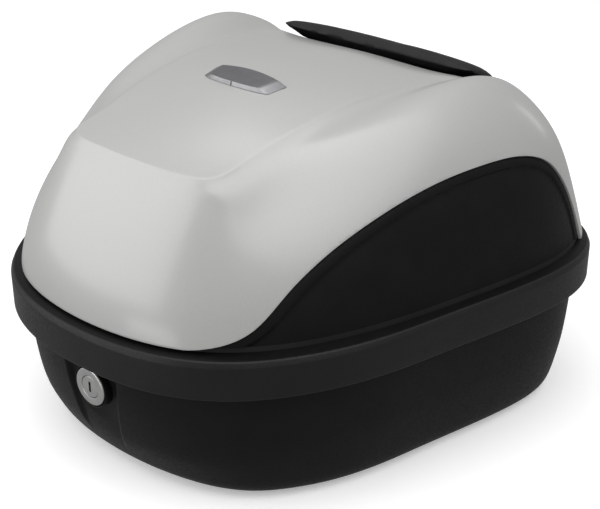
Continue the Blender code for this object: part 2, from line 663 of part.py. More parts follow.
def floor_pieces(black, rubber, steel, red):
    floor = PAD_HEIGHT + WALL
    mat = box("floor_mat", (-108, -62, floor + GAP), (108, 84, floor + 3), rubber, CASE, 1)
    cover = box("mechanism_cover", (-46, -152, floor + GAP), (46, -74, 32), black, CASE, 3)
    cut(cover, box("cover_hollow", (-43, -149, floor - 4), (43, -77, 29), None, CUTTERS))
    cut(cover, box("lever_window", (-15, -133, 20), (15, -89, 40), None, CUTTERS))
    x, y, z = RELEASE_PIVOT
    lever = plate("release_lever", [(y - 4, z - 11), (y + 3, z - 11), (y + 4, z), (y + 3, z + 4), (y - 2, z + 6),
                                    (y - 34, z + 6), (y - 36, z + 4), (y - 34, z + 2), (y - 8, z + 2),
                                    (y - 4, z - 2)], -13, 26, "X", red, CASE)
    cut(lever, cylinder("release_bore", 2.2, (-30, y, z), 60, "X", None, CUTTERS, 16))
    pin = cylinder("release_pin", 1.9, (-42.5, y, z), 85, "X", steel, CASE, 16)
    tongue = plate("base_latch", [(-140, 7), (-118, 7), (-118, 4.5), (-113, 1.2), (-100, 1.2), (-100, 2.6),
                                  (-106, 2.6), (-106, 7), (-101, 7), (-101, 17), (-104, 17), (-104, 10),
                                  (-137, 10), (-137, 16), (-140, 16)], -10, 20, "X", steel, CASE)
    spring = coil("base_latch_spring", 3.2, 0.5, 0.4, 8.2, 4, (0, -148.9, 11.5), steel)
    pads = []
    for number, (px, py) in enumerate(((-90, -80), (90, -80), (-100, 110), (100, 110))):
        pads.append(turned("rest_pad_" + str(number + 1), [(0, 0), (11, 0), (12, 0.8), (12, PAD_HEIGHT - GAP),
                                                           (0, PAD_HEIGHT - GAP)],
                           (px, py, 0), "Z", rubber, CASE, 20))
    return mat, cover, lever, pin, tongue, spring, pads


# ---------------------------------------------------------------- assembly

def new_collection(name):
    group = bpy.data.collections.new(name)
    bpy.context.scene.collection.children.link(group)
    return group


for old in list(bpy.data.objects):
    bpy.data.objects.remove(old)
CASE = new_collection("scooter_top_case")
CUTTERS = new_collection("cutters")


def build():
    paint = material("pearl_paint", PAINT, 0.2)
    plastic = material("textured_plastic", BLACK, 0.6)
    soft = material("backrest_skin", (0.02, 0.02, 0.022), 0.75)
    rubber = material("rubber", (0.015, 0.015, 0.015), 0.85)
    silver = material("brushed_silver", (0.55, 0.55, 0.55), 0.35, 1.0)
    steel = material("zinc_steel", (0.5, 0.5, 0.48), 0.4, 1.0)
    badge_metal = material("badge_satin", (0.3, 0.3, 0.31), 0.4, 0.8)
    badge_inner = material("badge_face", (0.2, 0.2, 0.21), 0.45, 0.6)
    red = material("release_red", (0.5, 0.03, 0.02), 0.45)

    lower_shell(plastic)
    shell = lid_shell(plastic)
    lid = [shell, lid_cover(paint), backrest_plate(plastic), backrest_pad(soft), *badge(badge_metal, badge_inner)]
    rim_seal(rubber)
    _, _, button, plug, clip, _ = lock(steel, silver, plastic)
    lever, _, _, striker, striker_screws = latch(steel, plastic)
    lid += [striker, *striker_screws]
    for side, label in ((-1, "left"), (1, "right")):
        _, upper, _, screws = hinge(side, label, steel, plastic)
        lid += [upper] + [s for s in screws if s.name.startswith("lid_")]
    _, _, release, _, tongue, _, _ = floor_pieces(plastic, rubber, steel, red)
    hung_on((0, HINGE_Y, HINGE_Z), "lid_axis", lid)
    hung_on((0, LOCK_FACE_Y, LOCK_Z), "button_axis", [button, clip, plug])
    hung_on((0, LEVER_PIVOT[1] + 0.6, LEVER_PIVOT[2]), "lever_axis", [lever])
    hung_on(RELEASE_PIVOT, "release_axis", [release])
    hung_on((0, -120, 9), "base_latch_axis", [tongue])


build()
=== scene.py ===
"""Looks for the scooter top case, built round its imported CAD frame.

Frame: metres, +Z up, the lock faces -Y, the hinge and the backrest pad are at +Y.
Sizes below are written in millimetres and scaled once, by MM, unless a name says metres.
"""
import json
import math
import bmesh
import bpy
import numpy as np
from mathutils import Matrix, Vector

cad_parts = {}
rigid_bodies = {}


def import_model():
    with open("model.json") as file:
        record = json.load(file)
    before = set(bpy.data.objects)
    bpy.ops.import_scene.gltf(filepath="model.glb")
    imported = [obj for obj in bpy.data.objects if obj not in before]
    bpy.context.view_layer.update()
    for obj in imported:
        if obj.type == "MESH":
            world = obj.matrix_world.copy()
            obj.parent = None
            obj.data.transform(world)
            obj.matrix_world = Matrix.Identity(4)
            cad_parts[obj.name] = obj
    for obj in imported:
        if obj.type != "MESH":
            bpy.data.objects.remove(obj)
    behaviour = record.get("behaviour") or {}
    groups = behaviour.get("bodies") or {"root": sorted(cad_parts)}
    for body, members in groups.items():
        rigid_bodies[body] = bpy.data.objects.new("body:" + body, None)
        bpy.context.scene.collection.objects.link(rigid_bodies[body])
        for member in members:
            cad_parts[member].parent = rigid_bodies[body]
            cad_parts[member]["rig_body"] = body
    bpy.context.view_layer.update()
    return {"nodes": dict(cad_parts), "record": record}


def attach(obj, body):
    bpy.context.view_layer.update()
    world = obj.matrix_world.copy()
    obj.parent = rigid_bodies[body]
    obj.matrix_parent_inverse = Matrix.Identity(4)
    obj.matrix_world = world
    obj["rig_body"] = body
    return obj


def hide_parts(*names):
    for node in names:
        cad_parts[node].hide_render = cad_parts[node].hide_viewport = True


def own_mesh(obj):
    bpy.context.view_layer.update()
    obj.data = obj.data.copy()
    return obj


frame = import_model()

MM = 0.001
LINER_LEVELS = 3
LID_LEVELS = 4

# ---------------------------------------------------------------- shape data, as in the CAD

# Right half of the rim seen from above, as (x, y).
RIM_OUTLINE = [(0, -229), (47, -225), (92, -211), (131, -184), (160, -147), (180, -108), (194, -66),
               (204, -24), (214, 18), (225, 70), (229, 120), (218, 163), (190, 193), (150, 211),
               (100, 220), (50, 223), (0, 223)]
COVER_BOTTOM, DOME_BOTTOM = 148.6, 143
COVER_WALL = 2.4
# Right half of the lid's cage: rings of (x, y, z) from the rim up, front to back.
LID_RINGS = [
    [(0, -220, 147), (45, -216, 147), (88, -203, 147), (126, -176, 147), (158, -133, 147),
     (184, -72, 147), (203, 0, 147), (218, 72, 147), (220, 130, 147), (194, 183, 147),
     (120, 211, 147), (0, 215, 147)],
    [(0, -212, 180), (43, -209, 180), (83, -197, 180), (120, -169, 180), (152, -128, 180),
     (179, -70, 180), (198, 0, 180), (213, 70, 180), (214, 126, 180), (186, 178, 180),
     (116, 204, 180), (0, 206, 180)],
    [(0, -190, 222), (40, -188, 222), (78, -179, 220), (110, -156, 213), (137, -117, 219),
     (166, -66, 222), (187, 0, 223), (202, 67, 224), (203, 124, 222), (175, 168, 218),
     (110, 186, 218), (0, 188, 218)],
    [(0, -171, 249), (39, -169, 249), (76, -162, 247), (101, -143, 237), (117, -103, 247),
     (143, -60, 258), (164, 2, 265), (178, 61, 266), (183, 118, 260), (159, 157, 249),
     (106, 164, 252), (0, 166, 252)],
    [(0, -165, 256), (39, -163, 256), (76, -156.5, 254), (94, -134, 254), (102, -95, 264),
     (120, -53, 276), (135, 4, 287), (142, 56, 294), (146, 105, 291), (133, 143, 272),
     (102, 144, 262.5), (0, 146, 262)],
    [(0, -162, 259.5), (39, -160.5, 259.5), (75.5, -153, 258.5), (84.5, -125, 263),
     (91, -89, 270.5), (99, -45, 278), (105, 4, 283.5), (110, 51, 285), (113, 94, 281.5),
     (114, 127, 275), (90, 134, 268), (0, 136, 268)],
    [(0, -159.5, 262), (38, -157.5, 262), (75, -150, 262), (79, -120, 267.5), (82.5, -85, 276),
     (87, -41, 283.5), (91.5, 4, 287.5), (95.5, 49, 286), (99.5, 90, 282), (101, 118, 278.5),
     (72, 126, 273), (0, 128, 274)],
]
# The cage points between the top ring's two sides, front to back.
FIELD_ROWS = [[(40, -122, 271), (0, -124, 272.5)], [(41, -86, 280), (0, -87, 282)],
              [(43, -41, 288.5), (0, -41, 291)], [(46, 4, 291), (0, 4, 294)],
              [(48, 49, 289), (0, 49, 292)], [(50, 88, 284.5), (0, 88, 287)]]
FRONT_CORNER, REAR_CORNER = 2, 9       # columns of the top ring
FRONT_CREASE = 0.66
SIDE_CREASES = (0.7, 0.7, 0.68, 0.62, 0.55, 0.45, 0.25)
# The cover's lower edge on each flank, as (y, z).
ARCH = [(-232, 143.2), (-212, 146.2), (-194, 150), (-178, 156), (-162, 167), (-141, 186.6),
        (-116, 204.4), (-88, 219.2), (-55, 231.8), (-20, 240.3), (15, 244.7), (50, 245.7),
        (76, 243.2), (97, 236.6), (113, 225.4), (127, 208), (138, 190), (147, 170), (153, 150),
        (156, 136)]
# The backrest's front and side edge seen from above, as (x, y) of its right half.
BACKREST_OUTLINE = [(0, 124), (76, 123), (101, 124), (111, 131), (117, 150), (121, 175),
                    (125, 200), (128, 250)]
LOCK = (0, -216, 85.4)     # middle of the lock's disc
END_SHARE = 2.75           # how sharply the tub's end profile takes over from its side profile

PANEL_WALL = 2.2
PANEL_BOTTOM = 151.0
PANEL_STEPS = [(0.5, 1.9), (1.2, 1.3), (6.6, 1.7), (7.0, 2.0), (7.4, 2.9), (7.9, 3.2)]
LINER_DEPTH = 3.6          # from the lid's outer surface in to the liner
BACKREST_GAP = 0.6
HINGE_X = 75
HINGE_SCREW_HOLE, STRIKER_SCREW_HOLE = 2.3, 1.7
RIM_STATIONS = 520
CHANNEL_DEPTH, DISH_DEPTH = 3.2, 2.6   # of the recess in the tub's front
LOCK_HOLE = 18.6
# Boxes cut through the tub's floor: for the base catch, then for the mount's two hooks.
FOOT_OPENINGS = [((-13, -124, -4), (13, -105, 12)), ((-70, 92, -4), (-42, 104, 12)),
                 ((42, 92, -4), (70, 104, 12))]


# ---------------------------------------------------------------- helpers

def scaled(point):
    return Vector([c * MM for c in point])


def smooth_curve(points, per_span, closed):
    """Points on a uniform cubic spline that passes through the given points."""
    given = np.array(points, float)
    count = len(given)
    system = np.zeros((count, count))
    for i in range(count):
        if not closed and i in (0, count - 1):
            system[i, i] = 6
            continue
        system[i, i - 1] += 1
        system[i, i] += 4
        system[i, (i + 1) % count] += 1
    control = np.linalg.solve(system / 6, given)
    if not closed:
        control = np.vstack([2 * control[0] - control[1], control, 2 * control[-1] - control[-2]])
    spans = count if closed else count - 1
    first = -1 if closed else 0
    curve = []
    for span in range(spans):
        p = [control[(span + first + k) % len(control)] for k in range(4)]
        for step in range(per_span):
            t = step / per_span
            curve.append(((1 - t) ** 3 * p[0] + (3 * t ** 3 - 6 * t ** 2 + 4) * p[1]
                          + (-3 * t ** 3 + 3 * t ** 2 + 3 * t + 1) * p[2] + t ** 3 * p[3]) / 6)
    if not closed:
        curve.append(given[-1])
    return np.array(curve)


def mirrored(half):
    """A closed outline from its half at +x, which starts and ends on the middle line."""
    return list(half) + [(-x, y) for x, y in reversed(half[1:-1])]


def resampled(loop, stations):
    """Points on a closed outline at the given shares of its length."""
    closed = np.vstack([loop, loop[:1]])
    length = np.concatenate([[0], np.cumsum(np.hypot(*np.diff(closed, axis=0).T))])
    at = np.array(stations) * length[-1]
    return np.stack([np.interp(at, length, closed[:, 0]), np.interp(at, length, closed[:, 1])], -1)


def inward(loop):
    """Unit vectors that point into a closed outline, one for each of its points."""
    along = np.roll(loop, -1, axis=0) - np.roll(loop, 1, axis=0)
    along /= np.linalg.norm(along, axis=1)[:, None]
    return np.stack([-along[:, 1], along[:, 0]], -1)


OUTLINE = smooth_curve(mirrored(RIM_OUTLINE), 24, True)


def link(mesh, name):
    piece = bpy.data.objects.new(name, mesh)
    bpy.context.scene.collection.objects.link(piece)
    return piece


def from_bmesh(bm, name):
    bmesh.ops.recalc_face_normals(bm, faces=bm.faces)
    mesh = bpy.data.meshes.new(name)
    bm.to_mesh(mesh)
    bm.free()
    return link(mesh, name)


def baked(piece):
    """Replace an object's mesh by what its modifiers make of it."""
    graph = bpy.context.evaluated_depsgraph_get()
    mesh = bpy.data.meshes.new_from_object(piece.evaluated_get(graph))
    piece.modifiers.clear()
    piece.data = mesh
    return piece


def smooth(piece, degrees=35):
    """Smooth shading, with a hard line where faces meet at more than the given angle."""
    piece.data.shade_smooth()
    piece.data.set_sharp_from_angle(angle=math.radians(degrees))
    return piece


def bevelled(piece, width, segments=3, degrees=40):
    bevel = piece.modifiers.new("rounded", "BEVEL")
    bevel.width = width * MM
    bevel.segments = segments
    bevel.limit_method = "ANGLE"
    bevel.angle_limit = math.radians(degrees)
    bevel.use_clamp_overlap = True
    return baked(piece)


def cut(piece, cutter):
    modifier = piece.modifiers.new("cut", "BOOLEAN")
    modifier.operation = "DIFFERENCE"
    modifier.object = cutter
    modifier.solver = "EXACT"
    bpy.context.view_layer.update()
    baked(piece)
    bpy.data.objects.remove(cutter)
    return piece


def finished(piece, body, materials, replaced=()):
    """Give a piece its materials, its body and the CAD nodes it stands for."""
    for made in materials:
        piece.data.materials.append(made)
    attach(piece, body)
    if replaced:
        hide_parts(*replaced)
    return piece


# ---------------------------------------------------------------- materials

class Nodes:
    """A short way to write a material's node tree."""

    def __init__(self, name):
        self.material = bpy.data.materials.new(name)
        self.material.use_nodes = True
        self.tree = self.material.node_tree
        self.shader = self.tree.nodes["Principled BSDF"]
        self.place = self.add("ShaderNodeTexCoord").outputs["Object"]

    def add(self, kind, **settings):
        node = self.tree.nodes.new(kind)
        for key, value in settings.items():
            setattr(node, key, value)
        return node

    def wire(self, source, target):
        self.tree.links.new(source, target)

    def noise(self, scale, detail=3, roughness=0.5, place=None):
        node = self.add("ShaderNodeTexNoise")
        node.inputs["Scale"].default_value = scale
        node.inputs["Detail"].default_value = detail
        node.inputs["Roughness"].default_value = roughness
        self.wire(place or self.place, node.inputs["Vector"])
        return node.outputs["Fac"]

    def cells(self, scale, feature="F1"):
        node = self.add("ShaderNodeTexVoronoi", feature=feature)
        node.inputs["Scale"].default_value = scale
        self.wire(self.place, node.inputs["Vector"])
        return node.outputs["Distance"]

    def ramp(self, source, low, high, out_low, out_high):
        node = self.add("ShaderNodeMapRange")
        limits = {"From Min": low, "From Max": high, "To Min": out_low, "To Max": out_high}
        for key, value in limits.items():
            node.inputs[key].default_value = value
        self.wire(source, node.inputs["Value"])
        return node.outputs["Result"]

    def tint(self, factor, color_a, color_b):
        node = self.add("ShaderNodeMix", data_type="RGBA")
        self.wire(factor, node.inputs[0])
        node.inputs[6].default_value = (*color_a, 1)
        node.inputs[7].default_value = (*color_b, 1)
        return node.outputs[2]

    def bump(self, height, distance, strength=1.0, under=None):
        node = self.add("ShaderNodeBump")
        node.inputs["Distance"].default_value = distance
        node.inputs["Strength"].default_value = strength
        self.wire(height, node.inputs["Height"])
        if under:
            self.wire(under, node.inputs["Normal"])
        return node.outputs["Normal"]

    def set(self, **values):
        for key, value in values.items():
            socket = self.shader.inputs[key.replace("_", " ")]
            if hasattr(value, "links"):
                self.wire(value, socket)
            else:
                socket.default_value = value
        return self.material


def pearl_paint():
    """Pale grey pearl: fine flakes under a clear coat with a faint orange peel."""
    n = Nodes("pearl_paint")
    flakes = n.cells(2600)
    clouds = n.noise(9, 2)
    color = n.tint(n.ramp(flakes, 0.1, 0.8, 0, 1), (0.475, 0.475, 0.468),
                   (0.42, 0.42, 0.413))
    mix = n.add("ShaderNodeMix", data_type="RGBA", blend_type="MULTIPLY")
    mix.inputs[0].default_value = 1
    n.wire(color, mix.inputs[6])
    shade = n.tint(n.ramp(clouds, 0.3, 0.7, 0, 1), (0.985, 0.985, 0.98), (1, 1, 1))
    n.wire(shade, mix.inputs[7])
    peel = n.bump(n.noise(260, 1), 0.00002, 0.25)
    return n.set(Base_Color=mix.outputs[2], Metallic=0.15,
                 Roughness=n.ramp(flakes, 0, 1, 0.42, 0.5), Normal=peel,
                 Coat_Weight=0.8, Coat_Roughness=0.22, Coat_IOR=1.6)


def grained_plastic(name, color, roughness=(0.42, 0.56), grain=0.00012, scale=1.0,
                    specular=0.3):
    """Black moulded polypropylene: spark-eroded grain with a faint mottling."""
    n = Nodes(name)
    pits = n.noise(1100 * scale, 4, 0.6)
    lumps = n.cells(750 * scale)
    both = n.add("ShaderNodeMath", operation="ADD")
    n.wire(pits, both.inputs[0])
    n.wire(n.ramp(lumps, 0, 1, 0, 0.8), both.inputs[1])
    mottled = n.tint(n.ramp(n.noise(35, 3), 0.35, 0.65, 0, 1),
                     [color * t for t in (0.88, 0.88, 0.92)],
                     [color * t for t in (1.15, 1.15, 1.22)])
    return n.set(Base_Color=mottled, Roughness=n.ramp(n.noise(420, 3), 0.3, 0.7, *roughness),
                 Normal=n.bump(both.outputs[0], grain, 0.55), Specular_IOR_Level=specular)


def smooth_plastic(name, color, roughness, specular):
    """Moulded plastic from a polished tool, with the faintest unevenness."""
    n = Nodes(name)
    mottled = n.tint(n.ramp(n.noise(60, 3), 0.35, 0.65, 0, 1), [c * 0.9 for c in color],
                     [c * 1.15 for c in color])
    gloss = n.ramp(n.noise(200, 3), 0.3, 0.7, roughness - 0.04, roughness + 0.06)
    return n.set(Base_Color=mottled, Roughness=gloss,
                 Normal=n.bump(n.noise(700, 2), 0.00003, 0.3), Specular_IOR_Level=specular)


def metal(name, color, roughness, stretch=(1, 1, 1), scratches=0.00002):
    """Metal with a fine brushed or cast surface: stretch squeezes the noise along one axis."""
    n = Nodes(name)
    mapping = n.add("ShaderNodeMapping")
    mapping.inputs["Scale"].default_value = stretch
    n.wire(n.place, mapping.inputs["Vector"])
    lines = n.noise(900, 4, 0.6, mapping.outputs["Vector"])
    stain = n.noise(120, 3)
    tone = n.tint(n.ramp(stain, 0.3, 0.7, 0, 1), [c * 0.88 for c in color], color)
    return n.set(Base_Color=tone, Metallic=1.0,
                 Roughness=n.ramp(lines, 0.3, 0.7, roughness - 0.06, roughness + 0.1),
                 Normal=n.bump(lines, scratches, 0.4))


def skin():
    """The backrest's moulded foam skin: leather-like pebbles over a slow unevenness."""
    n = Nodes("backrest_skin")
    pebbles = n.cells(620, "SMOOTH_F1")
    slow = n.noise(60, 2)
    fine = n.bump(pebbles, 0.00016, 0.5, n.bump(slow, 0.0006, 0.3))
    color = n.tint(n.ramp(pebbles, 0.1, 0.6, 0, 1), (0.011, 0.011, 0.0115),
                   (0.007, 0.007, 0.0075))
    return n.set(Base_Color=color, Roughness=n.ramp(slow, 0.3, 0.7, 0.5, 0.62), Normal=fine,
                 Specular_IOR_Level=0.3)


def rubber():
    """Matt black rubber with a little dust."""
    n = Nodes("rubber")
    dust = n.noise(180, 4)
    color = n.tint(n.ramp(dust, 0.35, 0.75, 0, 1), (0.010, 0.010, 0.010), (0.02, 0.02, 0.019))
    return n.set(Base_Color=color, Roughness=n.ramp(dust, 0.3, 0.7, 0.7, 0.85),
                 Normal=n.bump(n.noise(900, 3), 0.00008, 0.4))


PAINT = pearl_paint()
GRAIN = grained_plastic("textured_plastic", 0.005, specular=0.16)
RIM_GRAIN = grained_plastic("rim_plastic", 0.006, (0.38, 0.52), 0.0002, 0.8, 0.3)
PANEL = grained_plastic("side_panel_plastic", 0.005, (0.5, 0.62), 0.00008, 1.0, 0.14)
LEDGE = smooth_plastic("ledge_plastic", (0.004, 0.004, 0.0042), 0.42, 0.15)
INSIDE = grained_plastic("inner_plastic", 0.010, (0.5, 0.65), 0.00008, 0.8, 0.3)
SKIN = skin()
RUBBER = rubber()
SILVER = metal("brushed_silver", (0.56, 0.56, 0.55), 0.34, (1, 1, 1), 0.00003)
ZINC = metal("zinc_steel", (0.55, 0.55, 0.52), 0.36, (0.15, 1, 1))
BADGE = metal("badge_satin", (0.33, 0.33, 0.34), 0.36, (0.1, 1, 1))
BADGE_FACE = metal("badge_face", (0.24, 0.24, 0.25), 0.42, (0.1, 1, 1))
RED = smooth_plastic("release_red", (0.42, 0.02, 0.015), 0.4, 0.5)


# ---------------------------------------------------------------- the lid's surface

def lid_cage(bottom):
    """The lid's coarse cage, whose first ring stands at the given height, and its subdivision.

    The points are moved until the subdivided surface passes through them.
    """
    bm = bmesh.new()
    crease = bm.edges.layers.float.new("crease_edge")
    rings = [[(x, y, bottom) for x, y, _ in LID_RINGS[0]]] + LID_RINGS[1:]
    rows = [[bm.verts.new(scaled(p)) for p in ring] for ring in rings]
    for a, b in zip(rows, rows[1:]):
        for j in range(len(a) - 1):
            bm.faces.new((a[j], a[j + 1], b[j + 1], b[j]))
    edge = rows[-1]
    field = [[edge[FRONT_CORNER], edge[1], edge[0]]]
    for k, row in enumerate(FIELD_ROWS):
        field.append([edge[FRONT_CORNER + 1 + k]] + [bm.verts.new(scaled(p)) for p in row])
    field.append([edge[REAR_CORNER], edge[REAR_CORNER + 1], edge[REAR_CORNER + 2]])
    for a, b in zip(field, field[1:]):
        for j in range(FRONT_CORNER):
            bm.faces.new((a[j], b[j], b[j + 1], a[j + 1]))
    for j in range(FRONT_CORNER):
        bm.edges.get((edge[j], edge[j + 1]))[crease] = FRONT_CREASE
    for j, weight in enumerate(SIDE_CREASES):
        column = FRONT_CORNER + j
        bm.edges.get((edge[column], edge[column + 1]))[crease] = weight
    piece = from_bmesh(bm, "lid_surface")
    mirror = piece.modifiers.new("both halves", "MIRROR")
    mirror.merge_threshold = 0.0001
    mirror.use_clip = True
    smoother = piece.modifiers.new("subdivided", "SUBSURF")
    smoother.boundary_smooth = "PRESERVE_CORNERS"
    smoother.levels = smoother.render_levels = 1
    targets = [v.co.copy() for v in piece.data.vertices]
    for _ in range(2):
        made = piece.evaluated_get(bpy.context.evaluated_depsgraph_get())
        surface = made.to_mesh()
        moves = [t - surface.vertices[i].co for i, t in enumerate(targets)]
        made.to_mesh_clear()
        for vertex, target, move in zip(piece.data.vertices, targets, moves):
            if target.x == 0:
                move.x = 0
            vertex.co += move
        piece.data.update()
    return piece, smoother


def lid_surface(bottom, levels):
    """The lid's whole painted surface as an open bmesh, with its normals kept in a layer."""
    piece, smoother = lid_cage(bottom)
    smoother.levels = smoother.render_levels = levels
    bpy.context.view_layer.update()
    baked(piece)
    bm = bmesh.new()
    bm.from_mesh(piece.data)
    bpy.data.objects.remove(piece)
    bm.normal_update()
    normal = bm.verts.layers.float_vector.new("normal")
    field = bm.verts.layers.float.new("field")
    for v in bm.verts:
        v[normal] = v.normal
    return bm, normal, field


def distance_to(curve, points):
    """Signed distance in millimetres from an open curve, positive on its right-hand side."""
    start, along = curve[:-1], np.diff(curve, axis=0)
    length = np.linalg.norm(along, axis=1)
    unit = along / length[:, None]
    best = np.full(len(points), 1e9)
    side = np.zeros(len(points))
    for s, u, l in zip(start, unit, length):
        offset = points - s
        t = np.clip(offset @ u, 0, l)
        gap = offset - t[:, None] * u
        size = np.linalg.norm(gap, axis=1)
        near = size < best
        best[near] = size[near]
        side[near] = (u[1] * offset[near, 0] - u[0] * offset[near, 1])
    return np.where(side > 0, best, -best)


def measure(bm, field, rule):
    """Write rule(coordinates in millimetres) into the field layer."""
    points = np.array([v.co for v in bm.verts]) / MM
    for vertex, value in zip(bm.verts, rule(points)):
        vertex[field] = value


def score(bm, field, value):
    """Cut edges and faces where the field has this value, drawing near vertices onto it."""
    for edge in bm.edges:
        a, b = edge.verts
        fa, fb = a[field] - value, b[field] - value
        if fa * fb < 0:
            t = fa / (fa - fb)
            if t < 0.2 or t > 0.8:
                near = a if t < 0.2 else b
                near.co = a.co.lerp(b.co, t)
                near[field] = value
    for edge in list(bm.edges):
        a, b = edge.verts
        fa, fb = a[field] - value, b[field] - value
        if fa * fb < 0:
            _, made = bmesh.utils.edge_split(edge, a, fa / (fa - fb))
            made[field] = value
    for face in list(bm.faces):
        on = [v for v in face.verts if v[field] == value]
        if len(on) == 2 and bm.edges.get(on) is None:
            bmesh.utils.face_split(face, on[0], on[1])


def drop(bm, field, low=None, high=None):
    """Delete the faces whose field lies outside low to high."""
    gone = []
    for face in bm.faces:
        middle = sum(v[field] for v in face.verts) / len(face.verts)
        if low is not None and middle < low or high is not None and middle > high:
            gone.append(face)
    bmesh.ops.delete(bm, geom=gone, context="FACES")


def sink(bm, normal, depth):
    """Move every vertex in along its kept normal by a depth, or by a rule for it."""
    for v in bm.verts:
        v.co -= v[normal].normalized() * (depth(v) if callable(depth) else depth) * MM


def walled(bm, name, wall):
    """An open surface made a solid wall, inwards."""
    bmesh.ops.recalc_face_normals(bm, faces=bm.faces)
    mesh = bpy.data.meshes.new(name)
    bm.to_mesh(mesh)
    bm.free()
    piece = link(mesh, name)
    if sum(p.normal.z * p.area for p in mesh.polygons) < 0:
        mesh.flip_normals()
    thick = piece.modifiers.new("wall", "SOLIDIFY")
    thick.thickness = wall * MM
    thick.offset = -1
    return baked(piece)


def arch_field(points):
    """Distance below the cover's lower edge."""
    curve = smooth_curve(ARCH, 8, False)
    return distance_to(curve, points[:, 1:])


def backrest_field(points):
    """Distance inside the backrest's outline."""
    curve = smooth_curve(BACKREST_OUTLINE, 8, False)
    curve[0, 0] = -1       # past the middle line, so that no gap is left there
    flat = np.stack([np.abs(points[:, 0]), points[:, 1]], -1)
    return -distance_to(curve, flat)


def lid_cover():
    """The painted cover: the lid's surface above its arches and round the backrest."""
    bm, _, field = lid_surface(COVER_BOTTOM, LID_LEVELS)
    for rule in (arch_field, backrest_field):
        measure(bm, field, rule)
        score(bm, field, 0.0)
        drop(bm, field, high=0.0)
    cover = walled(bm, "lid_cover_painted", COVER_WALL)
    bevelled(cover, 0.7, 2, 60)
    return finished(smooth(cover, 50), "lid", [PAINT], ["lid_cover"])


def side_panel(side, label):
    """A bare side panel: a narrow strip along the arch, then a step down to the field.

    PANEL_STEPS gives its depth at each distance below the arch.
    """
    bm, normal, field = lid_surface(DOME_BOTTOM, LID_LEVELS)
    middle = [v for v in bm.verts if v.co.x * side < 50 * MM]
    bmesh.ops.delete(bm, geom=middle, context="VERTS")
    measure(bm, field, lambda points: points[:, 2])
    score(bm, field, PANEL_BOTTOM)
    drop(bm, field, low=PANEL_BOTTOM)
    measure(bm, field, arch_field)
    for distance, _ in PANEL_STEPS:
        score(bm, field, distance)
    drop(bm, field, low=PANEL_STEPS[0][0])
    steps = np.array(PANEL_STEPS)
    sink(bm, normal, lambda v: float(np.interp(v[field], steps[:, 0], steps[:, 1])))
    panel = walled(bm, "side_panel_" + label, PANEL_WALL)
    bevelled(panel, 0.5, 2, 60)
    return finished(smooth(panel, 40), "lid", [PANEL])


def lid_liner():
    """The lid's inner shell, seen when the lid is open."""
    bm, normal, _ = lid_surface(DOME_BOTTOM, LINER_LEVELS)
    sink(bm, normal, LINER_DEPTH)
    liner = walled(bm, "lid_liner", PANEL_WALL)
    return finished(smooth(liner, 50), "lid", [INSIDE])


def backrest_base():
    """The bare plate that closes the cover behind the pad."""
    bm, normal, field = lid_surface(COVER_BOTTOM, LID_LEVELS)
    measure(bm, field, backrest_field)
    score(bm, field, BACKREST_GAP)
    drop(bm, field, low=BACKREST_GAP)
    sink(bm, normal, BACKREST_GAP)
    base = walled(bm, "backrest_base", PANEL_WALL)
    bevelled(base, 0.5, 2, 60)
    return finished(smooth(base, 40), "lid", [GRAIN],
                    ["backrest_plate"])


# ---------------------------------------------------------------- lofts round the rim

def loft(rings, name, looped, bands=None):
    """A closed solid through rings of equal length; bands gives each row's material index."""
    bm = bmesh.new()
    rows = [[bm.verts.new(scaled(p)) for p in ring] for ring in rings]
    pairs = list(zip(rows, rows[1:]))
    if looped:
        pairs.append((rows[-1], rows[0]))
    for index, (a, b) in enumerate(pairs):
        for j in range(len(a)):
            k = (j + 1) % len(a)
            face = bm.faces.new((a[j], a[k], b[k], b[j]))
            face.material_index = bands[index] if bands else 0
    if not looped:
        bm.faces.new(rows[0])
        bm.faces.new(rows[-1])
    return from_bmesh(bm, name)


def arc(cx, cz, radius, start, end, steps=5):
    """Points (inset, height) round a corner, by angle in degrees."""
    turn = np.radians(np.linspace(start, end, steps + 1))
    return [(cx + radius * math.cos(t), cz + radius * math.sin(t)) for t in turn]


def rim():
    """The lid's skirt with its rounded edges, its ledge and the lip under it."""
    loop = resampled(OUTLINE, np.arange(RIM_STATIONS) / RIM_STATIONS)
    normals = inward(loop)
    face = arc(1.6, 113.6, 1.6, 270, 180) + [(0, 120), (0, 128), (0, 136)]
    face += arc(2.2, 139.4, 2.2, 180, 150, 4) + arc(3.6, 142.1, 2.4, 150, 100, 5)
    ledge = [(5.5, 144.8), (8.5, 145.3), (12, 145.9), (14.5, 146.3)]
    inner = [(16.5, 146.4), (16.5, 140.8), (9.6, 140.8), (3.6, 140.8), (3.4, 140.4), (3.4, 114),
             (3.2, 112)]
    section = face + ledge + inner
    rings = [[(x, y, z) for x, y in loop + normals * inset] for inset, z in section]
    bands = [0] * (len(face) - 1) + [1] * len(ledge) + [2] * (len(inner) + 1)
    made = loft(rings, "lid_rim", True, bands)
    for centre in (-HINGE_X, HINGE_X):
        for x in (-12, 12):
            cut(made, cylinder("hole", HINGE_SCREW_HOLE, (centre + x, 214, 127), 14, 24))
    for x in (-6.5, 6.5):
        cut(made, cylinder("hole", STRIKER_SCREW_HOLE, (x, -220.4, 143.3), 20, 24))
    return finished(smooth(made, 40), "lid", [RIM_GRAIN, LEDGE, INSIDE],
                    ["lid_shell"])


def clamped(value):
    return min(max(value, 0), 1)


def recess(x, z):
    """How far the tub's front wall is set back: a tapering channel, and a dish round the lock."""
    half = 30 - 0.12 * (LOCK[2] - z)
    across = clamped((half - abs(x)) / 5)
    low = clamped((z - 20) / 40)
    channel = CHANNEL_DEPTH * across * across * (3 - 2 * across) * low * low * (3 - 2 * low)
    reach = math.hypot(x, z - LOCK[2])
    near = clamped((33 - reach) / 12)
    return channel + DISH_DEPTH * near * near * (3 - 2 * near) * across


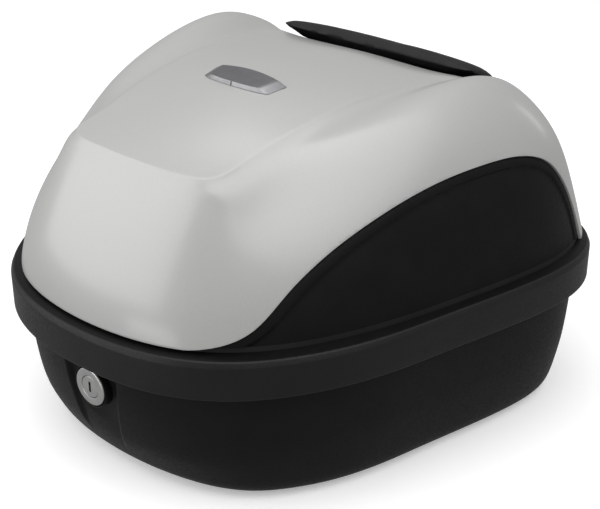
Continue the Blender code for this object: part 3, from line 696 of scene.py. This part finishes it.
def tub_wall(profile, stations):
    """Rings from (inset at the sides, inset at the front and back, height)."""
    loop = resampled(OUTLINE, stations)
    normals = inward(loop)
    ends = np.abs(normals[:, 1]) ** END_SHARE
    rings = []
    for side, end, z in profile:
        flat = loop + normals * (side + (end - side) * ends)[:, None]
        fade = clamped((118 - z) / 3)
        rings.append([(x, y + (recess(x, z) * fade if y < 0 else 0), z) for x, y in flat])
    return rings


def tub():
    """The lower shell: its outside, rounded lip and inside, with the lock's recess."""
    close = np.linspace(0, 0.034, 52)
    rest = np.linspace(0.034, 0.5, 190)[1:]
    half = np.concatenate([close, rest])
    stations = np.concatenate([half, 1 - half[-2:0:-1]])
    outside = [(12.2, 12.2, 112), (12.5, 13, 98), (13.4, 14.5, 80), (15, 18, 58), (17.4, 23, 40),
               (20.2, 31, 24), (23.5, 39, 12), (30, 53, 5), (44, 71, 3)]
    inside = [(45, 70, 6), (34.5, 55, 8.5), (28.5, 42.5, 14.5), (23.6, 34.5, 26),
              (20.6, 26.3, 41.5), (18.1, 21.1, 59), (16.4, 17.5, 81), (15.6, 15.9, 99),
              (15.3, 15.3, 112), (15.3, 15.3, 117)]
    bowl = smooth_curve(outside, 9, False)
    hollow = smooth_curve(inside, 5, False)
    lip = [(15.3, 128), (15.3, 137.3), (14.6, 138), (9.2, 138), (8.6, 137.4), (8.5, 133.2),
           (8.9, 132.6), (11.6, 130.4), (12, 129.8), (12, 121), (12.05, 117)]
    profile = [tuple(p) for p in hollow]
    profile += [(inset, inset, z) for inset, z in lip]
    profile += [tuple(p) for p in bowl]
    made = loft(tub_wall(profile, stations), "tub_shell", False)
    cutters = [cylinder("hole", LOCK_HOLE, (0, -235, LOCK[2]), 40, 96)]
    cutters += [block("hole", low, high) for low, high in FOOT_OPENINGS]
    cutters += [cylinder("hole", HINGE_SCREW_HOLE, (centre + x, 196, 91), 20, 24)
                for centre in (-HINGE_X, HINGE_X) for x in (-13, 13)]
    for cutter in cutters:
        cut(made, cutter)
    return finished(smooth(made, 40), "base", [GRAIN], ["lower_shell"])


# ---------------------------------------------------------------- turned and sawn parts

Z_TO_Y = Matrix.Rotation(math.radians(-90), 4, "X")


def cylinder(name, radius, start, length, segments):
    """A cylinder that runs from its start point along +Y."""
    bm = bmesh.new()
    bmesh.ops.create_cone(bm, cap_ends=True, segments=segments, radius1=radius * MM,
                          radius2=radius * MM, depth=length * MM)
    bmesh.ops.translate(bm, vec=(0, 0, length * MM / 2), verts=bm.verts)
    bmesh.ops.transform(bm, matrix=Matrix.Translation(scaled(start)) @ Z_TO_Y, verts=bm.verts)
    return from_bmesh(bm, name)


def block(name, low, high):
    """A box between two opposite corners."""
    bm = bmesh.new()
    bmesh.ops.create_cube(bm, size=1)
    bmesh.ops.scale(bm, vec=scaled([h - l for l, h in zip(low, high)]), verts=bm.verts)
    bmesh.ops.translate(bm, vec=scaled([(h + l) / 2 for l, h in zip(low, high)]), verts=bm.verts)
    return from_bmesh(bm, name)


def turned(name, profile, start, steps=96, closed=True):
    """A body turned about +Y from (radius, height) points that run up its outer side."""
    bm = bmesh.new()
    rings = []
    for r, h in profile:
        if r == 0:
            rings.append([bm.verts.new((0, 0, h * MM))])
        else:
            turn = [2 * math.pi * k / steps for k in range(steps)]
            rings.append([bm.verts.new((r * MM * math.cos(a), r * MM * math.sin(a), h * MM))
                          for a in turn])
    pairs = list(zip(rings, rings[1:]))
    if closed:
        pairs.append((rings[-1], rings[0]))
    for a, b in pairs:
        for j in range(steps):
            k = (j + 1) % steps
            corners = [a[j % len(a)], a[k % len(a)], b[k % len(b)], b[j % len(b)]]
            face = [v for i, v in enumerate(corners) if v not in corners[:i]]
            if len(face) > 2:
                bm.faces.new(face)
    bmesh.ops.transform(bm, matrix=Matrix.Translation(scaled(start)) @ Z_TO_Y, verts=bm.verts)
    return from_bmesh(bm, name)


def lock_pieces():
    """The lock's collar, its push button with the metal disc, and the slotted key plug."""
    collar = [(17.1, 1), (17.5, 0.6), (17.9, 0.8), (18.2, 1.4), (18.2, 30), (11.5, 30),
              (11.5, 13), (17.1, 13)]
    housing = turned("lock_collar", collar, LOCK)
    finished(smooth(housing), "base", [LEDGE], ["lock_housing"])
    head = [(9.55, 0.5), (9.75, 0.15), (10.1, 0), (14.9, 0), (15.7, 0.25), (16.15, 0.75),
            (16.3, 1.4), (16.3, 4.7), (16, 5), (11, 5), (11, 34), (9.55, 34)]
    button = turned("lock_button_turned", head, LOCK)
    finished(smooth(button), "button", [SILVER], ["lock_button"])
    face = [(0, 0.25), (8.4, 0.25), (8.9, 0.35), (9.2, 0.7), (9.25, 39), (0, 39)]
    plug = turned("key_plug_turned", face, LOCK, closed=False)
    slot = block("slot", (-1.25, -219, LOCK[2] - 4.6), (1.25, -202, LOCK[2] + 4.6))
    cut(plug, slot)
    finished(smooth(plug), "key", [SILVER], ["key_plug"])


# Columns across the badge's right half: x, then the y of its front and rear edges.
BADGE_FOOT = [(0, -10.6, 18.2), (13, -10.1, 17.6), (24, -8.6, 16.2), (32, -6.4, 14.8),
              (35, -4.6, 14), (38, 12, 13.2)]
BADGE_TOP = [(0, -9.6, 16), (11, -9.2, 15.6), (20, -7.9, 14.6), (26.4, -6.3, 13.6),
             (28.2, -5.2, 13.2), (31, 12, 12.7)]
BADGE_MIDDLE = 3           # y about which an outline is scaled
BADGE_SEAT = (0, -40, 291.1)
BADGE_TILT = 7             # degrees, front edge down
BADGE_BEND = 0.0014        # fall towards the ends, times x squared


def badge_plate(levels, name):
    """A closed plate, bent to the cover, through outlines (share, scale, height).

    The share is how far the outline has gone from the badge's foot to its top.
    """
    rows = []
    bm = bmesh.new()
    for share, scale, height in levels:
        half = np.array(BADGE_FOOT) * (1 - share) + np.array(BADGE_TOP) * share
        across = np.append(np.linspace(0, half[-2, 0], 12), half[-1, 0])
        front, rear = (np.interp(across, half[:, 0], half[:, k]) for k in (1, 2))
        right = list(zip(across, front, rear))
        columns = [(-x, f, r) for x, f, r in right[:0:-1]] + right
        loop = [(x, f) for x, f, _ in columns] + [(x, r) for x, _, r in reversed(columns)]
        rows.append([bm.verts.new(scaled((x * scale,
                                          BADGE_MIDDLE + (y - BADGE_MIDDLE) * scale,
                                          height - BADGE_BEND * x * x))) for x, y in loop])
    count = len(rows[0])
    for a, b in zip(rows, rows[1:]):
        for j in range(count):
            bm.faces.new((a[j], a[(j + 1) % count], b[(j + 1) % count], b[j]))
    for row in (rows[0], rows[-1]):
        for j in range(count // 2 - 1):
            bm.faces.new((row[j], row[j + 1], row[count - 2 - j], row[count - 1 - j]))
    piece = from_bmesh(bm, name)
    tilt = Matrix.Rotation(math.radians(BADGE_TILT), 4, "X")
    piece.data.transform(Matrix.Translation(scaled(BADGE_SEAT)) @ tilt)
    return piece


def badge_pieces():
    """The blank badge: sloping ends, steep sides with a small notch in front, and a plain face."""
    frame_piece = badge_plate([(0, 1.004, -0.7), (0, 1.004, 0.5), (0, 0.985, 0.75), (1, 1, 3.4),
                               (1, 0.985, 3.4), (1, 0.985, 2.2)], "badge_rim")
    cut(frame_piece, block("notch", (-0.55, -60, 280), (0.55, -49.4, 300)))
    bevelled(frame_piece, 0.25, 2, 25)
    finished(smooth(frame_piece, 25), "lid", [BADGE], ["badge_frame"])
    face = badge_plate([(1, 0.981, 2.3), (1, 0.981, 3.35), (1, 0.975, 3.45)], "badge_blank")
    finished(smooth(face, 30), "lid", [BADGE_FACE], ["badge_face"])


# Rows of the pad's cage, front to back: half width, (y, z) of its back skin and of its front
# skin on the middle line, and how far the front skin falls towards its ends.
PAD_ROWS = [(108, (127.5, 276), (124.9, 277), 0), (110, (133, 273), (125.3, 284), 4.5),
            (111, (140, 268), (133, 287.5), 5.5), (112, (150, 263.5), (147, 282.5), 5),
            (112, (171, 253), (174, 267), 4), (112, (194.5, 212), (202, 226), 3),
            (110, (205, 190), (214, 199), 2), (106, (209, 183.5), (214.5, 185.5), 1)]
PAD_BACK_FALL = -1.5
PAD_SHRINK = 0.7           # the cage starts this far inside, and pressure fills it out
PAD_SWELL = 2.2            # no point of the cushion moves further than this
PAD_PRESSURE = 4
PAD_CELL = 4.5             # size of the even cells that the cloth is made of
CLOTH_STEPS = 20


def pad_cage():
    """The pad as a smooth closed form, before pressure fills it out."""
    bm = bmesh.new()
    across = (0, 0.5, 0.86, 1)
    skins = []
    for is_front in (False, True):
        rows = []
        for half_width, back, front, front_fall in PAD_ROWS:
            y, z = front if is_front else back
            fall = front_fall if is_front else PAD_BACK_FALL
            rows.append([bm.verts.new(scaled((half_width * s, y, z - fall * s ** 4)))
                         for s in across])
        for a, b in zip(rows, rows[1:]):
            for j in range(len(across) - 1):
                bm.faces.new((a[j], a[j + 1], b[j + 1], b[j]))
        skins.append(rows)
    edges = [rows[0] + [r[-1] for r in rows[1:-1]] + rows[-1][::-1] for rows in skins]
    for (a, b), (c, d) in zip(zip(edges[0], edges[0][1:]), zip(edges[1], edges[1][1:])):
        bm.faces.new((a, b, d, c))
    pad = from_bmesh(bm, "backrest_cushion")
    mirror = pad.modifiers.new("both halves", "MIRROR")
    mirror.merge_threshold = 0.0001
    smoother = pad.modifiers.new("subdivided", "SUBSURF")
    smoother.levels = smoother.render_levels = 4
    bpy.context.view_layer.update()
    return baked(pad)


def inflated(piece, pressure, cap):
    """Fill a soft piece out by cloth pressure, moving no point further than the cap."""
    remesh = piece.modifiers.new("even cells", "REMESH")
    remesh.mode = "VOXEL"
    remesh.voxel_size = PAD_CELL * MM
    baked(piece)
    before = np.array([v.co for v in piece.data.vertices])
    cloth = piece.modifiers.new("cloth", "CLOTH")
    cloth.settings.use_pressure = True
    cloth.settings.uniform_pressure_force = pressure
    cloth.settings.effector_weights.gravity = 0
    cloth.settings.quality = 6
    scene = bpy.context.scene
    for frame_number in range(1, CLOTH_STEPS + 1):
        scene.frame_set(frame_number)
    graph = bpy.context.evaluated_depsgraph_get()
    made = piece.evaluated_get(graph).to_mesh()
    after = np.array([v.co for v in made.vertices])
    piece.evaluated_get(graph).to_mesh_clear()
    piece.modifiers.clear()
    scene.frame_set(1)
    move = after - before
    reach = np.linalg.norm(move, axis=1)[:, None]
    move *= np.minimum(1, cap * MM / np.maximum(reach, 1e-9))
    for vertex, place in zip(piece.data.vertices, before + move):
        vertex.co = place
    return piece


def backrest_pad():
    """The moulded foam pad: filled out by cloth pressure, relaxed, then subdivided once."""
    pad = pad_cage()
    for vertex in pad.data.vertices:
        vertex.co -= vertex.normal * PAD_SHRINK * MM
    inflated(pad, PAD_PRESSURE, PAD_SWELL)
    relax = pad.modifiers.new("relaxed", "SMOOTH")
    relax.factor = 0.5
    relax.iterations = 4
    finer = pad.modifiers.new("finer", "SUBSURF")
    finer.levels = finer.render_levels = 1
    bpy.context.view_layer.update()
    baked(pad)
    pad.data.shade_smooth()
    return finished(pad, "lid", [SKIN], ["backrest_pad"])


def refined(node, body, material, width=0.4):
    """A CAD part with its edges rounded."""
    mesh = frame["nodes"][node].data.copy()
    mesh.materials.clear()
    bm = bmesh.new()
    bm.from_mesh(mesh)
    bmesh.ops.remove_doubles(bm, verts=bm.verts, dist=0.00001)
    bmesh.ops.dissolve_limit(bm, angle_limit=math.radians(1), verts=bm.verts, edges=bm.edges)
    bm.to_mesh(mesh)
    bm.free()
    piece = link(mesh, node + "_finished")
    bevelled(piece, width, 2, 40)
    return finished(smooth(piece, 35), body, [material], [node])


# ---------------------------------------------------------------- stage

def light(name, place, target, size, radiance):
    """A softbox, given by its corner-to-corner sides in metres and its radiance."""
    data = bpy.data.lights.new(name, "AREA")
    data.shape = "RECTANGLE"
    data.size, data.size_y = size
    data.energy = radiance * math.pi * size[0] * size[1]
    lamp = bpy.data.objects.new(name, data)
    bpy.context.scene.collection.objects.link(lamp)
    lamp.location = place
    lamp.rotation_euler = (Vector(target) - Vector(place)).to_track_quat("-Z", "Y").to_euler()
    lamp.visible_camera = False


def stage():
    """A pale floor, a plain world that is white to the camera, and four softboxes."""
    bm = bmesh.new()
    bmesh.ops.create_grid(bm, x_segments=2, y_segments=2, size=6)
    floor = from_bmesh(bm, "floor")
    n = Nodes("floor")
    n.set(Base_Color=(0.95, 0.95, 0.95, 1), Roughness=0.9, Emission_Color=(1, 1, 1, 1),
          Emission_Strength=0.3)
    floor.data.materials.append(n.material)
    floor.visible_glossy = False
    floor.visible_diffuse = False
    world = bpy.data.worlds.new("studio")
    bpy.context.scene.world = world
    world.use_nodes = True
    tree = world.node_tree
    rays = tree.nodes.new("ShaderNodeLightPath")
    strength = tree.nodes.new("ShaderNodeMapRange")
    strength.inputs["To Min"].default_value = 0.42
    strength.inputs["To Max"].default_value = 1.0
    tree.links.new(rays.outputs["Is Camera Ray"], strength.inputs["Value"])
    background = tree.nodes["Background"]
    background.inputs["Color"].default_value = (1, 1, 1, 1)
    tree.links.new(strength.outputs["Result"], background.inputs["Strength"])
    light("overhead", (1.0, -0.3, 1.75), (1.0, -0.3, 0), (4.2, 2.1), 1.45)
    light("front_left", (-1.2, -1.7, 1.0), (0, 0, 0.1), (3.0, 1.8), 1.5)
    light("floor_strip", (-0.02, -0.85, 0.02), (0.06, -0.2, 0.14), (0.4, 0.1), 3.0)
    light("window", (0.62, 1.9, 0.75), (0.15, 0.1, 0.25), (0.12, 0.6), 3.0)
    bpy.context.scene.view_settings.view_transform = "Standard"


def camera():
    """From the right of the front and above, with a long lens."""
    azimuth, elevation, distance = math.radians(41.38), math.radians(26.61), 1.131
    target = Vector((0.02015, 0.01014, 0.123))
    back = Vector((math.sin(azimuth) * math.cos(elevation),
                   -math.cos(azimuth) * math.cos(elevation), math.sin(elevation)))
    data = bpy.data.cameras.new("camera")
    data.sensor_width = 36
    data.lens = 77.34
    made = bpy.data.objects.new("camera", data)
    bpy.context.scene.collection.objects.link(made)
    made.location = target + back * distance
    made.rotation_euler = (-back).to_track_quat("-Z", "Y").to_euler()
    bpy.context.scene.camera = made


# ---------------------------------------------------------------- all pieces

# Each spring: the joint that closes it, its fixed end in metres, and the share of its length
# that is left at the joint's limit.
SPRINGS = {"button_spring": ("lock_push", (0, -0.2033, 0.0854), 0.45),
           "base_latch_spring": ("catch_slide", (0, -0.1489, 0.0115), 0.47)}
SLOT_MATERIALS = {"textured_plastic": GRAIN, "rubber": RUBBER, "zinc_steel": ZINC,
                  "release_red": RED}

camera()
stage()
rim()
lid_cover()
side_panel(-1, "left")
side_panel(1, "right")
lid_liner()
backrest_base()
tub()
lock_pieces()
badge_pieces()
backrest_pad()
for node, thing in frame["nodes"].items():
    if thing.hide_render:
        continue
    slot_name = next(s["material_slot"] for s in frame["record"]["subparts"]
                     if s["node"] == node)
    chosen = SLOT_MATERIALS[slot_name]
    if node in SPRINGS:
        spring = link(thing.data.copy(), node + "_finished")
        spring.data.materials.clear()
        finished(smooth(spring, 40), thing["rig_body"], [chosen], [node])
        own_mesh(spring)
    elif "screw" in node:
        thing.data.materials.clear()
        thing.data.materials.append(chosen)
        smooth(thing, 40)
    else:
        refined(node, thing["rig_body"], chosen, 0.35)
